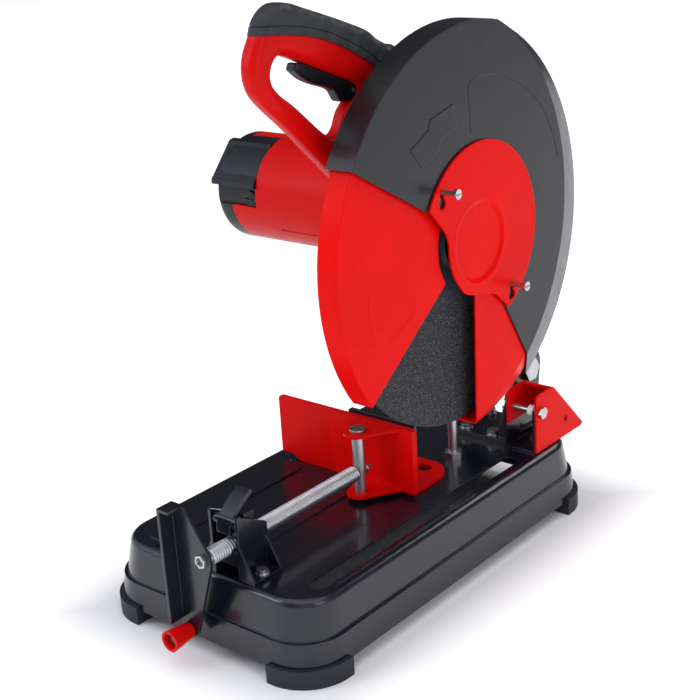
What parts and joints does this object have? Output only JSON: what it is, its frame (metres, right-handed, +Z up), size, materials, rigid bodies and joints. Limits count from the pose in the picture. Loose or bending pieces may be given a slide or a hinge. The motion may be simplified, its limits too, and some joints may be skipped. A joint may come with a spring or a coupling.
{
  "type": "abrasive chop saw",
  "caption": "Bench cut-off saw: a tray base with a screw vice and fence, and a sprung swinging head with motor, guarded abrasive wheel and a looped handle.",
  "frame": {"origin": "on the floor under the rubber feet, below the middle of the whole saw's bounding box, which is 12.7 mm in front of the base's centre", "axes": "-Y to the front where the operator stands, +X to the right with the wheel on that side, +Z up"},
  "size_m": [0.2802, 0.5054, 0.562],
  "materials": {
    "black_paint": "satin black powder coat",
    "guard_paint": "satin dark grey coat",
    "red_paint": "gloss red coat",
    "red_plastic": "semi-gloss red",
    "black_plastic": "fine grain",
    "grip_rubber": "soft matt",
    "foot_rubber": "matt",
    "zinc_steel": "zinc plated",
    "bare_steel": "machined",
    "dark_steel": "blackened",
    "abrasive": "coarse resin-bonded grit",
    "cast_alloy": "red painted casting",
    "arm_alloy": "black painted casting",
    "white_plastic": "white",
    "copper": "copper",
    "carbon": "pressed carbon"
  },
  "bodies": {
    "base": {"base_tray": "black_paint", "base_feet": "foot_rubber", "pivot_bracket": "black_paint", "pivot_shaft": "zinc_steel", "pivot_bolts": "zinc_steel", "return_spring": "dark_steel", "depth_stop": "zinc_steel", "fence": "red_paint", "fence_backing": "black_paint", "fence_bolts": "zinc_steel", "deflector_bracket": "black_paint", "deflector_bolt": "zinc_steel", "deflector_bush": "white_plastic", "deflector_base_bolt": "zinc_steel", "halfnut_bracket": "black_paint", "halfnut_bolts": "zinc_steel", "lever_pin": "black_paint"},
    "head": {"gear_case": "cast_alloy", "swing_arm": "arm_alloy", "arm_bolts": "zinc_steel", "upper_guard": "guard_paint", "rear_guard": "red_paint", "cover_screws": "zinc_steel", "spindle_bearings": "bare_steel", "armature_bearings": "bare_steel", "stator": "dark_steel", "motor_housing": "red_plastic", "motor_end_cap": "black_plastic", "brush_caps": "black_plastic", "carbon_brushes": "carbon", "cord_gland": "foot_rubber", "handle_frame": "red_plastic", "handle_grip": "grip_rubber", "trigger_pin": "bare_steel", "switch": "black_plastic"},
    "spindle": {"spindle": "bare_steel", "abrasive_wheel": "abrasive", "inner_flange": "dark_steel", "outer_flange": "dark_steel", "wheel_bolt": "zinc_steel", "drive_gear": "dark_steel"},
    "armature": {"armature_shaft": "bare_steel", "armature_core": "dark_steel", "commutator": "copper", "cooling_fan": "black_plastic"},
    "front_guard": {"front_guard": "red_paint"},
    "cover": {"hub_cover": "red_paint"},
    "trigger": {"trigger": "black_plastic"},
    "spindle_lock": {"spindle_lock": "black_plastic"},
    "deflector": {"spark_deflector": "red_paint"},
    "release_lever": {"release_lever": "black_paint", "half_nut": "black_paint"},
    "carriage": {"jaw_pin": "zinc_steel"},
    "screw": {"vice_screw": "zinc_steel", "screw_end_nut": "zinc_steel", "vice_crank": "black_paint", "crank_nut": "zinc_steel", "knob_screw": "zinc_steel"},
    "knob": {"crank_knob": "red_plastic"},
    "jaw": {"vice_jaw": "red_paint"}
  },
  "joints": [
    {"name": "head_pivot", "type": "hinge", "parent": "base", "child": "head", "pos_m": [0.047, 0.2127, 0.146], "axis": [1, 0, 0], "range_deg": [0, 27], "stiffness_Nm_per_rad": 26, "springref_deg": -60.16},
    {"name": "wheel_spin", "type": "hinge", "parent": "head", "child": "spindle", "pos_m": [0.0996, 0.0567, 0.332], "axis": [1, 0, 0], "continuous": true},
    {"name": "armature_spin", "type": "hinge", "parent": "head", "child": "armature", "pos_m": [-0.03, 0.0367, 0.362], "axis": [1, 0, 0], "continuous": true},
    {"name": "front_guard_swing", "type": "hinge", "parent": "head", "child": "front_guard", "pos_m": [0.0946, 0.0567, 0.332], "axis": [1, 0, 0], "range_deg": [-50, 0]},
    {"name": "cover_lift", "type": "slide", "parent": "head", "child": "cover", "axis": [0, 0, 1], "range_m": [0, 0.01]},
    {"name": "trigger_pull", "type": "hinge", "parent": "head", "child": "trigger", "pos_m": [0.058, -0.0378, 0.479], "axis": [-1, 0, 0], "range_deg": [0, 4], "stiffness_Nm_per_rad": 1.5, "springref_deg": -6.88},
    {"name": "spindle_lock_press", "type": "slide", "parent": "head", "child": "spindle_lock", "axis": [0, 0, 1], "range_m": [0, 0.003], "stiffness_N_per_m": 600, "springref_m": -0.003},
    {"name": "deflector_tilt", "type": "hinge", "parent": "base", "child": "deflector", "pos_m": [0.098, 0.1687, 0.121], "axis": [1, 0, 0], "range_deg": [0, 20]},
    {"name": "release_lever_lift", "type": "hinge", "parent": "base", "child": "release_lever", "pos_m": [0.025, -0.1923, 0.129], "axis": [1, 0, 0], "range_deg": [0, 40]},
    {"name": "vice_slide", "type": "slide", "parent": "base", "child": "carriage", "axis": [0, -1, 0], "range_m": [0, 0.125]},
    {"name": "screw_turn", "type": "hinge", "parent": "carriage", "child": "screw", "pos_m": [0.025, -0.0873, 0.105], "axis": [0, -1, 0], "continuous": true},
    {"name": "knob_spin", "type": "hinge", "parent": "screw", "child": "knob", "pos_m": [0, -0.2373, 0.029], "axis": [0, -1, 0], "continuous": true},
    {"name": "jaw_swivel", "type": "hinge", "parent": "carriage", "child": "jaw", "pos_m": [0.025, -0.0133, 0.1135], "axis": [0, 0, 1], "range_deg": [-2, 2]}
  ],
  "couplings": [
    {"joint": "armature_spin", "follows": "wheel_spin", "ratio": -5},
    {"joint": "front_guard_swing", "follows": "head_pivot", "ratio": -1.85},
    {"joint": "screw_turn", "follows": "vice_slide", "rad_per_m": 2094.4}
  ]
}
